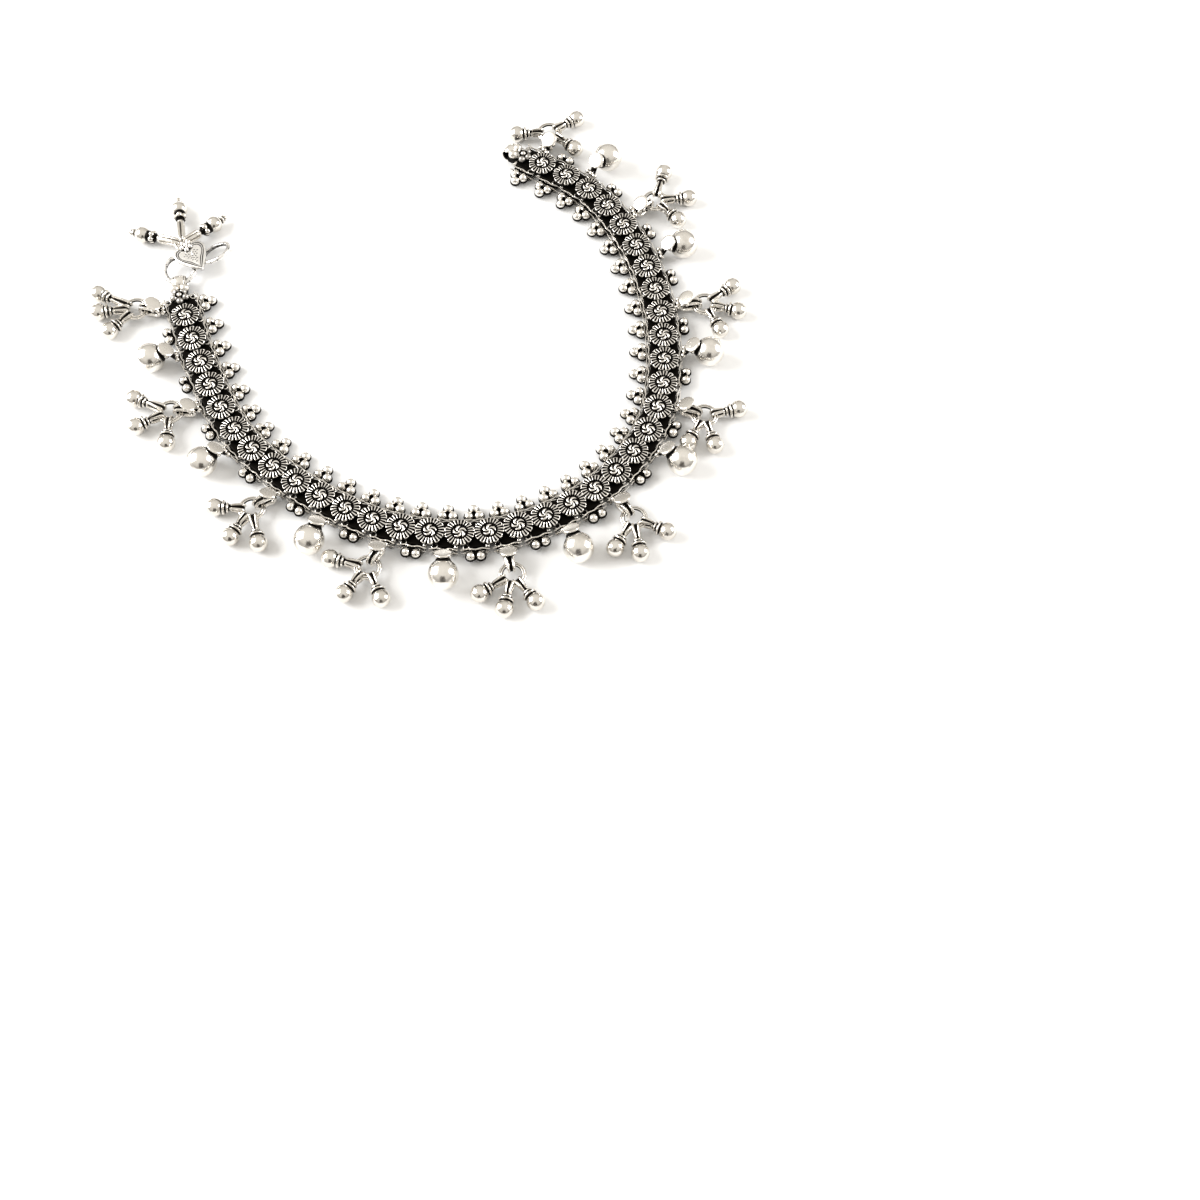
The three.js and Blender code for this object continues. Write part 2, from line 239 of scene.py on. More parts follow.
def wire(path: np.ndarray, wide: float, thick: float, up: Place, oxide_and_shade: float, closed: bool,
         sides: int = 10) -> Shape:
    """A wire or a flat strap along a path.

    Args:
        path: Points by XYZ.
        wide: Half of its size along up.
        thick: Half of its size across up.
        up: A way that the path never runs along.
        oxide_and_shade: How black its inner side is; on the jump rings this is painted shade.
        closed: Whether the path joins itself.
        sides: Points round the section.

    Returns:
        The closed shape, blacker towards the middle of its path.
    """
    if closed:
        way = np.roll(path, -1, axis=0) - np.roll(path, 1, axis=0)
    else:
        way = np.gradient(path, axis=0)
    way /= np.linalg.norm(way, axis=1)[:, None]
    across = np.cross(np.broadcast_to(np.array(up, dtype=float), way.shape), way)
    across /= np.linalg.norm(across, axis=1)[:, None]
    over = np.cross(way, across)
    angle = np.arange(sides) * 2 * math.pi / sides
    section = (np.cos(angle)[None, :, None] * thick * across[:, None]
               + np.sin(angle)[None, :, None] * wide * over[:, None])
    rings = path[:, None] + section
    middle = path.mean(0)
    inner = smooth(0.2, -0.9, ((rings - path[:, None]) * (path - middle)[:, None]).sum(-1) / (
        np.linalg.norm(section, axis=-1) * np.linalg.norm(path - middle, axis=1)[:, None]))
    return skin(rings, oxide_and_shade * inner, closed)


def circle_path(radius: float, steps: int) -> np.ndarray:
    """Points round a circle in XY."""
    angle = np.arange(steps) * 2 * math.pi / steps
    return np.stack([radius * np.cos(angle), radius * np.sin(angle), np.zeros(steps)], axis=1)


def stadium_path(near: float, far: float, rise: float, steps: int = 10) -> np.ndarray:
    """A long loop in XZ with round ends.

    Args:
        near: X of the loop's near end.
        far: X of its far end.
        rise: Half of its height.
        steps: Points round each end.

    Returns:
        Points by XYZ, going round the Y axis.
    """
    angle = np.linspace(-math.pi / 2, math.pi / 2, steps)
    end = np.stack([far - rise + rise * np.cos(angle), np.zeros(steps), rise * np.sin(angle)], axis=1)
    start = np.stack([near + rise - rise * np.cos(angle), np.zeros(steps), -rise * np.sin(angle)], axis=1)
    return np.vstack([end, start])


def formed_loop(near: float, far: float, rise: float, half: float, rim: float, taper: float) -> Shape:
    """A loop of formed strip in XZ: two polished rims with a black channel between them.

    Args:
        near: X of the loop's near end.
        far: X of its far end.
        rise: Half of its height.
        half: Half of its width.
        rim: The radius of its rims.
        taper: How much narrower its far end is, as a share.

    Returns:
        The loop.
    """
    path = stadium_path(near, far, rise)
    shapes = []
    for side in (-1, 1):
        edge = path + np.array([0.0, side * (half - rim), 0.0])
        shapes.append(wire(edge, rim, rim, (0, 1, 0), 0.35, True, 8))
    web = wire(path, half - rim, 0.12, (0, 1, 0), 1.0, True, 8)
    web.oxide_and_shade[:] = 0.92
    loop = joined([*shapes, web])
    loop.points[:, 1] *= 1 - taper * smooth(near, far, loop.points[:, 0])
    return loop


def away(place: Point, reach: float, heading: float) -> Point:
    """A point some reach from a place along a heading in degrees."""
    return (place[0] + reach * math.cos(math.radians(heading)),
            place[1] + reach * math.sin(math.radians(heading)))


# ---- finishes --------------------------------------------------------------------------------
class Slot(Enum):
    """The record's finishes."""

    BAND = "antiqued_band"
    BELL = "polished_bell"
    DROP = "antiqued_drop"
    HOOK = "polished_hook"


@dataclass(frozen=True)
class OxidisedSilver:
    """White metal, polished on its highs and black in its lows.

    Attributes:
        slot: The record's slot that it dresses.
        bright: The polished metal's colour; on the drops and charms it is set darker as painted shade.
        sheen: Roughness of the polished metal.
        stain: How much a faint tarnish dulls it.
        scuff: Depth of its fine scratches in millimetres.
        bite: How readily the black creeps out of the lows.
    """

    slot: Slot
    bright: tuple[float, float, float]
    sheen: float
    stain: float
    scuff: float
    bite: float

    def material(self) -> bpy.types.Material:
        """Builds the node material.

        Returns:
            The material, which reads how black each point is.
        """
        made = bpy.data.materials.new(self.slot.value)
        made.use_nodes = True
        nodes, links = made.node_tree.nodes, made.node_tree.links
        shader = nodes["Principled BSDF"]
        place = nodes.new("ShaderNodeTexCoord")
        oxide_and_shade = nodes.new("ShaderNodeAttribute")
        oxide_and_shade.attribute_name = "oxide_and_shade"

        def noise(scale: float, detail: float, rough: float) -> bpy.types.Node:
            """A noise over the object's own space."""
            node = nodes.new("ShaderNodeTexNoise")
            node.inputs["Scale"].default_value = scale
            node.inputs["Detail"].default_value = detail
            node.inputs["Roughness"].default_value = rough
            links.new(place.outputs["Object"], node.inputs["Vector"])
            return node

        def maths(kind: str, first: bpy.types.NodeSocket,
                  second: bpy.types.NodeSocket | float) -> bpy.types.NodeSocket:
            """One sum of two values."""
            node = nodes.new("ShaderNodeMath")
            node.operation = kind
            links.new(first, node.inputs[0])
            if isinstance(second, float):
                node.inputs[1].default_value = second
            else:
                links.new(second, node.inputs[1])
            return node.outputs[0]

        def spread(value: bpy.types.NodeSocket, low: float, high: float, to_low: float,
                   to_high: float) -> bpy.types.NodeSocket:
            """Maps a value from one range to another, softly."""
            node = nodes.new("ShaderNodeMapRange")
            node.interpolation_type = "SMOOTHSTEP"
            for name, number in (("From Min", low), ("From Max", high), ("To Min", to_low),
                                 ("To Max", to_high)):
                node.inputs[name].default_value = number
            links.new(value, node.inputs["Value"])
            return node.outputs["Result"]

        fleck = noise(2600.0, 3.0, 0.6).outputs["Fac"]
        cloud = noise(420.0, 4.0, 0.55).outputs["Fac"]
        wobble = maths("MULTIPLY", maths("SUBTRACT", fleck, 0.5), self.bite)
        black = spread(maths("ADD", oxide_and_shade.outputs["Fac"], wobble), 0.32, 0.72, 0.0, 1.0)
        tarnish = spread(cloud, 0.45, 0.75, 0.0, self.stain)

        colour = nodes.new("ShaderNodeMix")
        colour.data_type = "RGBA"
        links.new(tarnish, colour.inputs["Factor"])
        colour.inputs["A"].default_value = (*self.bright, 1.0)
        colour.inputs["B"].default_value = (0.46, 0.41, 0.34, 1.0)
        dark = nodes.new("ShaderNodeMix")
        dark.data_type = "RGBA"
        links.new(black, dark.inputs["Factor"])
        links.new(colour.outputs["Result"], dark.inputs["A"])
        dark.inputs["B"].default_value = (0.007, 0.006, 0.005, 1.0)
        links.new(dark.outputs["Result"], shader.inputs["Base Color"])
        shader.inputs["Metallic"].default_value = 1.0

        polish = spread(cloud, 0.3, 0.7, self.sheen * 0.8, self.sheen * 1.35)
        links.new(maths("ADD", polish, maths("MULTIPLY", black, 0.32)), shader.inputs["Roughness"])

        streaks = nodes.new("ShaderNodeMapping")
        streaks.inputs["Scale"].default_value = (260.0, 2300.0, 900.0)
        streaks.inputs["Rotation"].default_value = (0.3, 0.5, 0.8)
        links.new(place.outputs["Object"], streaks.inputs["Vector"])
        scratch = nodes.new("ShaderNodeTexNoise")
        scratch.inputs["Scale"].default_value = 2.2
        scratch.inputs["Detail"].default_value = 4.0
        links.new(streaks.outputs["Vector"], scratch.inputs["Vector"])
        relief = maths("ADD", maths("MULTIPLY", scratch.outputs["Fac"], 0.5), cloud)
        bump = nodes.new("ShaderNodeBump")
        bump.inputs["Distance"].default_value = self.scuff * MM
        bump.inputs["Strength"].default_value = 1.0
        links.new(relief, bump.inputs["Height"])
        links.new(bump.outputs["Normal"], shader.inputs["Normal"])
        return made


FINISHES = (
    OxidisedSilver(Slot.BAND, (0.9, 0.865, 0.81), 0.22, 0.3, 0.02, 0.4),
    OxidisedSilver(Slot.BELL, (0.87, 0.835, 0.78), 0.2, 0.3, 0.03, 0.3),
    # painted shade: the drops and charms get a polished colour darker than the band's, so the white table
    # mirrored in their lower sides reads dimmer
    OxidisedSilver(Slot.DROP, (0.8, 0.765, 0.71), 0.17, 0.3, 0.02, 0.35),
    OxidisedSilver(Slot.HOOK, (0.96, 0.94, 0.91), 0.26, 0.1, 0.02, 0.4),
)


@dataclass
class Workshop:
    """Turns shapes into dressed Blender pieces.

    Attributes:
        materials: The material of each slot.
    """

    materials: dict[Slot, bpy.types.Material] = field(default_factory=dict)

    def __post_init__(self) -> None:
        """Makes each finish once."""
        for finish in FINISHES:
            self.materials[finish.slot] = finish.material()

    def make(self, name: str, shape: Shape, slot: Slot, node: str) -> bpy.types.Object:
        """Makes a piece that stands for a node of the frame.

        Args:
            name: The piece's name.
            shape: Its skins in millimetres, in the row's frame.
            slot: Its finish.
            node: The node that it replaces.

        Returns:
            The new object.
        """
        mesh = bpy.data.meshes.new(name)
        mesh.from_pydata((shape.points * MM).tolist(), [], shape.quads.tolist() + shape.tris.tolist())
        mesh.polygons.foreach_set("use_smooth", [True] * len(mesh.polygons))
        mesh.set_sharp_from_angle(angle=math.radians(52))
        mesh.attributes.new("oxide_and_shade", "FLOAT", "POINT").data.foreach_set(
            "value", shape.oxide_and_shade.astype(np.float32))
        mesh.materials.append(self.materials[slot])
        piece = bpy.data.objects.new(name, mesh)
        bpy.context.scene.collection.objects.link(piece)
        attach(piece, "root")
        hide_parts(node)
        LOG.info("%s: %d corners, for %s", name, len(shape.points), node)
        return piece


# ---- where the links lie -----------------------------------------------------------------------
@dataclass(frozen=True)
class Seat:
    """A place and a heading in the base plane.

    Attributes:
        place: The origin's X and Y in millimetres.
        heading: The way of local X in degrees.
    """

    place: Point
    heading: float

    def set(self, shape: Shape) -> Shape:
        """Moves a shape from the seat's own frame to the row's."""
        return shape.moved((*self.place, 0.0), (0.0, 0.0, self.heading))

    def ahead(self, reach: float) -> Point:
        """A point straight along the row from here."""
        return away(self.place, reach, self.heading + 90)


def corners_at(node: str, height: float) -> np.ndarray:
    """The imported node's corners at one height.

    Args:
        node: The node's name.
        height: The height in millimetres.

    Returns:
        Points by XY in millimetres, each once.
    """
    points = np.array([corner.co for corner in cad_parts[node].data.vertices]) / MM
    level = points[np.abs(points[:, 2] - height) < 0.004]
    return np.unique(level[:, :2].round(3), axis=0)


def link_seats() -> list[Seat]:
    """Finds each link's seat from the underside of its packed plate.

    Returns:
        The seats, from the hook's end to the free end.
    """
    feet = [corners_at(link_name(number), 0.0) for number in range(1, LINKS + 1)]
    middles = np.array([foot.mean(0) for foot in feet])
    seats = []
    for number, foot in enumerate(feet):
        along = middles[min(number + 1, LINKS - 1)] - middles[max(number - 1, 0)]
        spread = foot - middles[number]
        outward = np.linalg.eigh(spread.T @ spread)[1][:, 1]
        if outward @ np.array([along[1], -along[0]]) < 0:
            outward = -outward
        seats.append(Seat(tuple(middles[number]), math.degrees(math.atan2(outward[1], outward[0]))))
    return seats


def link_name(number: int) -> str:
    """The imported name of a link."""
    return f"link_{number:02d}"


# ---- what hangs on the links -------------------------------------------------------------------
class Hung(Enum):
    """What a link carries on its outer side."""

    CLUSTER = "a disc tab with a cluster of drops"
    BELL = "a disc tab with a bell"
    PAIR = "a pair of granules"

    @staticmethod
    def on(number: int) -> "Hung":
        """The rhythm of four along the row."""
        return {1: Hung.CLUSTER, 3: Hung.BELL}.get(number % 4, Hung.PAIR)


@dataclass(frozen=True)
class ClusterLay:
    """How one cluster happens to lie.

    Attributes:
        lean: How far its tab leans, in degrees.
        swing: How far its ring swings from straight out.
        drops: Each drop's way in degrees and reach in millimetres from the ring's middle.
    """

    lean: float
    swing: float
    drops: tuple[Point, Point, Point]


CLUSTERS = {
    1: ClusterLay(-10, -25, ((-44, 10.4), (-13, 8.9), (30, 8.4))),
    5: ClusterLay(4, -23, ((-49, 9.4), (2, 8.4), (64, 8.4))),
    9: ClusterLay(10, -20, ((-56, 8.3), (6, 8.3), (51, 9))),
    13: ClusterLay(4, -10, ((-88, 8.7), (-20, 8.1), (41, 8.3))),
    17: ClusterLay(-3, -2, ((-70, 8.4), (-24, 8.5), (25, 8.4))),
    21: ClusterLay(-12, -9, ((-74, 8.6), (-36, 8.9), (21, 8.1))),
    25: ClusterLay(-19, -11, ((-108, 8.1), (-64, 8.1), (24, 8.1))),
    29: ClusterLay(-13, -9, ((28, 8.5), (-24, 8.1), (-75, 8.1))),
    33: ClusterLay(-11, 6, ((42, 9.2), (-27, 8.4), (-80, 8.1))),
    37: ClusterLay(-13, 33, ((-25, 8.1), (-97, 8.3), (126, 8.1))),
}
BELL_LEANS = {3: -9, 7: -6, 11: 4, 15: 4, 19: -4, 23: 0, 27: -8, 31: -3, 35: -7}


@dataclass
class Rosette:
    """The domed rosette: a pinwheel, a dark groove and ribs that are joined in pairs at the rim."""

    radius: float = 3.36
    lift: float = 2.72
    crown: float = 3.98
    lobes: int = 5
    ribs: int = 24
    samples: int = 216
    sweep: float = 3.4
    pinwheel: float = 0.45
    rib_foot: float = 0.55

    def build(self) -> Shape:
        """Builds the rosette with its underside at its lift.

        Returns:
            The closed rosette, its middle on Z.
        """
        angle = np.arange(self.samples) * 2 * math.pi / self.samples
        pairs = np.abs(np.cos(self.ribs / 4 * angle - math.pi / 4)) ** 0.6
        edge = self.radius * (0.925 + 0.05 * pairs + 0.025 * np.abs(np.cos(self.lobes * angle / 2)))
        shares = (1.0, 0.985, 0.965, 0.94, 0.91, 0.87, 0.8, 0.73, 0.67, 0.62, 0.59, 0.565, 0.54,
                  0.515, 0.49, 0.47, 0.45, 0.43, 0.39, 0.34, 0.28, 0.22, 0.16, 0.1, 0.05)
        rings, grimes = [], []
        for height, share, dirt in ((0.2, 0.84, 1.0), (0.05, 0.93, 1.0), (0.12, 0.985, 0.95),
                                    (0.34, 1.0, 0.7)):
            rings.append(np.stack([edge * share * np.cos(angle), edge * share * np.sin(angle),
                                   np.full_like(angle, self.lift + height)], axis=1))
            grimes.append(np.full_like(angle, dirt))
        for share in shares:
            height, dirt = self.relief(share, angle)
            reach = share * (self.radius + (edge - self.radius) * smooth(0.5, 1.0, share))
            twist = self.sweep * (self.pinwheel - min(share, self.pinwheel))
            rings.append(np.stack([reach * np.cos(angle + twist), reach * np.sin(angle + twist), height],
                                  axis=1))
            grimes.append(dirt)
        return skin(np.array(rings), np.array(grimes))

    def relief(self, share: float, angle: np.ndarray) -> tuple[np.ndarray, np.ndarray]:
        """The height and grime round one ring.

        Args:
            share: The ring's place from the middle, 0, to the rim, 1.
            angle: The angles round it.

        Returns:
            Heights in millimetres and grimes.
        """
        reach = np.full_like(angle, share)
        dome = self.crown - 0.34 - 0.34 * share * share
        rib = np.abs(np.cos(self.ribs / 2 * angle))
        joined_end = smooth(0.9, 0.965, reach) * (np.sin(self.ribs / 2 * angle) > 0)
        rib = np.maximum(rib, joined_end)
        in_ribs = smooth(self.rib_foot - 0.01, self.rib_foot + 0.035, reach) * smooth(1.02, 0.97, reach)
        petal = np.abs(np.cos(self.lobes / 2 * angle))
        in_petals = smooth(0.07, 0.13, reach) * smooth(self.pinwheel + 0.01, self.pinwheel - 0.04, reach)
        boss = smooth(0.12, 0.06, reach)
        groove = (smooth(self.pinwheel - 0.03, self.pinwheel + 0.02, reach)
                  * smooth(self.rib_foot + 0.04, self.rib_foot, reach))
        height = dome + (rib * in_ribs) ** 0.8 * 0.32 + petal * in_petals * 0.34 + boss * 0.32 - 0.14 * groove
        bright = np.maximum(smooth(0.74, 0.93, rib) * in_ribs, smooth(0.56, 0.84, petal) * in_petals)
        return height, 1 - np.maximum(bright, boss)


@dataclass
class Link:
    """A cross link: stamped strips, granules, a tab or a pair of granules, and its rosette.

    Attributes:
        number: Its count from the hook's end.
        seat: Where it lies.
        rosette: The rosette shape that all links share.
        chance: The source of small differences between links.
    """

    number: int
    seat: Seat
    rosette: Shape
    chance: np.random.Generator
    reach: float = 4.35
    half: float = 2.95
    grain: float = 1.08

    def strip(self, reach: float, foot: float, thick: float, waves: int, swell: float) -> Shape:
        """One stamped strip across the link, its wavy ends rubbed bright along their edges.

        Args:
            reach: Half of its length across the row.
            foot: The height of its underside.
            thick: Its thickness.
            waves: How many waves each end has.
            swell: How deep they are.

        Returns:
            The closed strip.
        """
        steps = 8 * waves + 1
        side = np.linspace(-1, 1, steps)
        width = self.half * 0.84
        bulge = reach - swell * (0.5 - 0.5 * np.cos(math.pi * waves * (side + 1))) - 0.25 * side ** 2
        right = np.stack([bulge, side * width], axis=1)
        outline = np.vstack([right, [[reach * 0.5, self.half * 0.95]], [[0.0, self.half]],
                             [[-reach * 0.5, self.half * 0.95]], -right,
                             [[-reach * 0.5, -self.half * 0.95]], [[0.0, -self.half]],
                             [[reach * 0.5, -self.half * 0.95]]])
        top = foot + thick
        return slab(outline, [(0.1, foot, 1.0), (0.0, foot + 0.07, 1.0), (0.0, top - 0.14, 0.5),
                              (0.06, top, 0.0), (0.16, top - 0.02, 0.3), (0.28, top - 0.18, 1.0),
                              (0.9, top - 0.2, 1.0)])

    def base(self) -> list[Shape]:
        """The layered strips, the dark block between them and the hinge knuckles.

        Returns:
            The base's shapes.
        """
        block = np.array([[-3.2, -2.4], [0, -2.75], [3.2, -2.4], [3.2, 2.4], [0, 2.75], [-3.2, 2.4]])
        pieces = [
            self.strip(self.reach, 0.0, 0.5, 2, 0.32),
            self.strip(self.reach - 0.3, 0.78, 0.46, 3, 0.3),
            self.strip(self.reach - 0.62, 1.55, 0.46, 2, 0.36),
            slab(block, [(0.1, 0.1, 1.0), (0.0, 0.2, 1.0), (0.0, 2.15, 0.95), (0.12, 2.3, 0.85),
                         (0.5, 2.35, 0.9)]),
        ]
        for side in (-1, 1):
            pieces.append(self.ribbon(side * 3.68, 2.38, 0.14, 0.0))
            pieces.append(self.ribbon(side * 4.12, 1.35, 0.08, math.pi))
            pieces.append(self.stroke(side * 1.9, 2.42, side * 55))
            knuckle = turned([(0.42, -0.8, 0.6), (0.5, -0.7, 0.35), (0.5, 0.7, 0.35), (0.42, 0.8, 0.6)], 12)
            pieces.append(knuckle.moved((side * 2.45, self.half - 0.25, 1.9), (0, 90, 0)))
            curl = wire(circle_path(0.62, 14), 0.16, 0.16, (0, 0, 1), 0.5, True, 8)
            pieces.append(curl.moved((side * 3.0, -self.half + 0.9, 2.24), (0, 0, 0)))
        return pieces

    def ribbon(self, x: float, height: float, swell: float, phase: float) -> Shape:
        """A bright wavy wire along the end of the strips.

        Args:
            x: How far out it runs.
            height: The height of its middle.
            swell: How deep its waves are.
            phase: Where its waves start, in radians.

        Returns:
            The wire.
        """
        along = np.linspace(-self.half * 1.1, self.half * 1.1, 17)
        wave = x + swell * np.cos(2 * math.pi * along / self.half + phase)
        path = np.stack([wave, along, np.full_like(along, height)], axis=1)
        made = wire(path, 0.13, 0.14, (0, 0, 1), 0.0, False, 6)
        return made.blackened(lambda p: smooth(0.02, -0.12, p[:, 2] - height))

    def stroke(self, x: float, height: float, turn: float) -> Shape:
        """A short bright bar beside a hinge, slanted by a turn in degrees."""
        bar = wire(np.array([[0.0, -0.75, 0.0], [0.0, 0.0, 0.05], [0.0, 0.75, 0.0]]), 0.14, 0.14,
                   (0, 0, 1), 0.0, False, 6)
        return bar.moved((x, -self.half + 0.75, height), (0, 0, turn))

    def grains(self, side: int, with_far: bool, lift: float) -> list[Shape]:
        """Granules beside each other on a leaf, and one beyond them.

        Args:
            side: -1 for the inner side, 1 for the outer.
            with_far: Whether there is one beyond.
            lift: The height of their middles.

        Returns:
            The granules, the leaf behind them and the solder between.
        """
        near, apart, far = 5.15, 1.13, 6.95
        angle = np.linspace(0, 2 * math.pi, 24, endpoint=False)
        leaf = np.stack([np.cos(angle), 1.75 * np.sin(angle) * (1 - 0.25 * side * np.cos(angle))], axis=1)
        pieces = [
            slab(leaf, [(0.08, lift - 0.85, 1.0), (0.0, lift - 0.75, 0.6), (0.03, lift - 0.6, 0.0),
                        (0.14, lift - 0.6, 0.2), (0.22, lift - 0.68, 1.0),
                        (0.5, lift - 0.68, 1.0)]).moved((side * 4.1, 0, 0)),
            turned([(0.5, -0.6, 1), (1.3, -0.5, 1), (1.1, -0.1, 1), (0.5, 0.1, 1)], 14).moved(
                (side * (5.4 if with_far else 4.6), 0.0, lift - 0.1)),
        ]
        places = [(near, -apart), (near, apart)] + ([(far, 0.0)] if with_far else [])
        middle = np.array([side * (5.55 if with_far else 4.8), 0.0])
        for x, y in places:
            size = (self.grain if with_far else 0.92 * self.grain) * self.chance.uniform(0.95, 1.04)
            bezel = turned([(0.6, -0.95, 1), (1.1, -0.8, 1), (1.27, -0.45, 1), (1.25, -0.2, 1),
                            (0.9, -0.1, 1)], 18)
            pieces.append(bezel.moved((side * (x - 0.06), y, lift)))
            grain = granule(size).moved((side * x, y, lift + self.chance.uniform(-0.06, 0.06)))
            pieces.append(grain.blackened(
                lambda p: smooth(0.8, 0.42, np.linalg.norm(p[:, :2] - middle, axis=1)) * 0.95))
        return pieces

    def tab(self, lean: float, height: float, tilt: float) -> list[Shape]:
        """A polished disc on a dark arm, with a grain at each side of the arm.

        Args:
            lean: How far it leans round the link's middle, in degrees.
            height: The height of the disc's middle.
            tilt: How far its outer edge is tipped up.

        Returns:
            The tab's shapes.
        """
        x, y = away((0, 0), 6.5, lean)
        disc = turned([(1.0, -0.62, 1.0), (1.5, -0.56, 1.0), (1.62, -0.36, 1.0), (1.8, -0.26, 0.9),
                       (1.92, -0.1, 0.1), (1.93, 0.04, 0.0), (1.86, 0.14, 0.0), (1.7, 0.19, 0.0),
                       (1.2, 0.23, 0.0), (0.4, 0.26, 0.0)], 40)
        arm_path = np.array([[3.4, 0, 1.4], [4.3, 0, 1.5], [5.0, 0, 1.9], [5.6, 0, height - 2.6],
                             [6.1, 0, height - 1.5]])
        arm = wire(arm_path, 0.8, 0.42, (0, 1, 0), 1.0, False, 10)
        arm.oxide_and_shade[:] = 0.95
        pieces = [disc.moved((x, y, height), (0, -tilt, lean)), arm.moved((0, 0, 0), (0, 0, lean))]
        for step in (-1, 0, 1):
            beside = away(away((0, 0), 4.75 - 0.12 * abs(step), lean), step * 1.12, lean + 90)
            pieces.append(granule(0.6, 14, 9).moved((*beside, 2.35)))
        for side in (-1, 1):
            under = away(away((0, 0), 6.7, lean), side * 1.2, lean + 90)
            pieces.append(granule(0.6, 14, 9).moved((*under, height - 1.0)))
        return pieces

    def strap(self, lean: float, swing: float) -> Shape:
        """The closed strap that holds a cluster's ring.

        Args:
            lean: How far the tab leans, in degrees.
            swing: The strap's way, in degrees.

        Returns:
            The strap.
        """
        loop = formed_loop(-0.5, 4.15, 1.1, 1.28, 0.44, 0.3)
        return loop.moved((*away((0, 0), 5.9, lean), 2.12), (0, 0, swing))

    def build(self) -> Shape:
        """Builds the whole link in the row's frame.

        Returns:
            The link's shape.
        """
        pieces = [*self.base(), *self.grains(-1, True, 1.5)]
        hung = Hung.on(self.number)
        if hung is Hung.CLUSTER:
            lay = CLUSTERS[self.number]
            pieces += [*self.tab(lay.lean, 4.75, 28), self.strap(lay.lean, lay.swing)]
        elif hung is Hung.BELL:
            pieces += self.tab(BELL_LEANS[self.number], 5.6, 33)
        else:
            pieces += self.grains(1, False, 1.8)
        shapes = [self.seat.set(joined(pieces))]
        if self.number < LINKS:
            middle = corners_at(link_name(self.number), 4.0).mean(0)
            tips = self.chance.uniform(-2.6, 2.6, 2)
            spin = self.seat.heading + self.chance.uniform(0, 51)
            flat = self.rosette.moved((0, 0, -3.3), (0, 0, spin)).moved((0, 0, 3.3), (tips[0], tips[1], 0))
            shapes.append(flat.moved((middle[0], middle[1], 0.0)))
        return joined(shapes)

    def dress(self, shop: Workshop) -> bpy.types.Object:
        """Makes the link's piece."""
        return shop.make(f"rosette_link_{self.number:02d}", self.build(), Slot.BAND, link_name(self.number))


@dataclass
class Bell:
    """A round bell with a rolled seam, a collar and the eye that its tab's loop holds."""

    order: int
    number: int
    seat: Seat
    radius: float = 3.45
    reach: float = 10.6
    pitch_up: float = 20.0

    def build(self) -> Shape:
        """Builds the bell in the row's frame.

        Returns:
            The bell's shape.
        """
        lean = BELL_LEANS[self.number]
        cap = [(0.5, -3.9, 1.0), (0.9, -3.8, 1.0), (1.3, -3.62, 1.0), (1.6, -3.36, 1.0), (1.7, -3.14, 1.0)]
        profile = cap + ball_profile(self.radius - 0.02, 1.76, 0.0, 42, 0.6)
        ball = turned(profile, 64)
        eye = formed_loop(-5.0, -3.6, 0.5, 0.7, 0.2, 0.0)
        # the profile runs along +Z, which is laid outward and down, away from the tab
        body = [ball.moved((0, 0, 0), (0, 90 + self.pitch_up, 0)),
                eye.moved((0, 0, 0), (0, self.pitch_up, 0))]
        place = (*away((0, 0), self.reach, lean), self.radius + 0.03)
        return self.seat.set(joined(body).moved(place, (0, 0, lean)))

    def dress(self, shop: Workshop) -> bpy.types.Object:
        """Makes the bell's piece."""
        return shop.make(f"round_bell_{self.order:02d}", self.build(), Slot.BELL, f"bell_{self.order:02d}")


@dataclass
class DropCluster:
    """A jump ring with three drops that lie on the table."""

    order: int
    number: int
    seat: Seat
    chance: np.random.Generator
    ring: float = 2.6
    height: float = 2.1
    ball: float = 2.05
    tab_reach: float = 6.5
    ring_offset: float = 4.6

    def drop(self, reach: float) -> Shape:
        """One drop along +X: an eye, a bead, a flared collar and a seamed ball.

        Args:
            reach: From the ring's middle to the ball's.

        Returns:
            The drop.
        """
        collar = [(0.3, -3.55, 1.0), (0.7, -3.45, 1.0), (0.76, -3.22, 1.0), (1.08, -3.14, 0.3),
                  (1.22, -2.96, 0.0), (1.18, -2.78, 0.1), (0.92, -2.7, 1.0), (0.94, -2.42, 1.0),
                  (1.5, -2.34, 0.3), (1.74, -2.14, 0.0), (1.76, -1.98, 0.0), (1.68, -1.88, 0.3),
                  (1.26, -1.8, 1.0), (1.26, -1.52, 1.0)]
        profile = [(r, reach + x, g) for r, x, g in collar]
        profile += ball_profile(self.ball, 1.34, reach, 28, 0.3)
        body = turned(profile, 36).moved((0, 0, 0), (0, 90, 0))
        eye = formed_loop(self.ring - 0.95, reach - 3.4, 0.72, 1.04, 0.37, 0.4)
        return joined([body, eye])

    def build(self) -> Shape:
        """Builds the cluster in the row's frame.

        Returns:
            The cluster's shape.
        """
        lay = CLUSTERS[self.number]
        middle = away(away((0, 0), self.tab_reach, lay.lean), self.ring_offset, lay.swing)
        pieces = []
        # painted shade: both turns of the jump ring are darkened on their inner sides and on their
        # undersides, where they lie against each other and over the table
        for turn, lift in ((self.ring + 0.24, -0.04), (self.ring - 0.24, 0.06)):
            coil = wire(circle_path(turn, 44), 0.31, 0.29, (0, 0, 1), 0.9, True, 10)
            coil = coil.blackened(lambda p: smooth(0.02, -0.2, p[:, 2]))
            pieces.append(coil.moved((0, 0, lift)))
        for way, reach in lay.drops:
            roll = self.chance.uniform(-14, 14)
            pieces.append(self.drop(reach).moved((0, 0, 0), (roll, 0, way)))
        return self.seat.set(joined(pieces).moved((*middle, self.height)))

    def dress(self, shop: Workshop) -> bpy.types.Object:
        """Makes the cluster's piece."""
        return shop.make(f"drops_{self.order:02d}", self.build(), Slot.DROP,
                         f"drop_cluster_{self.order:02d}")


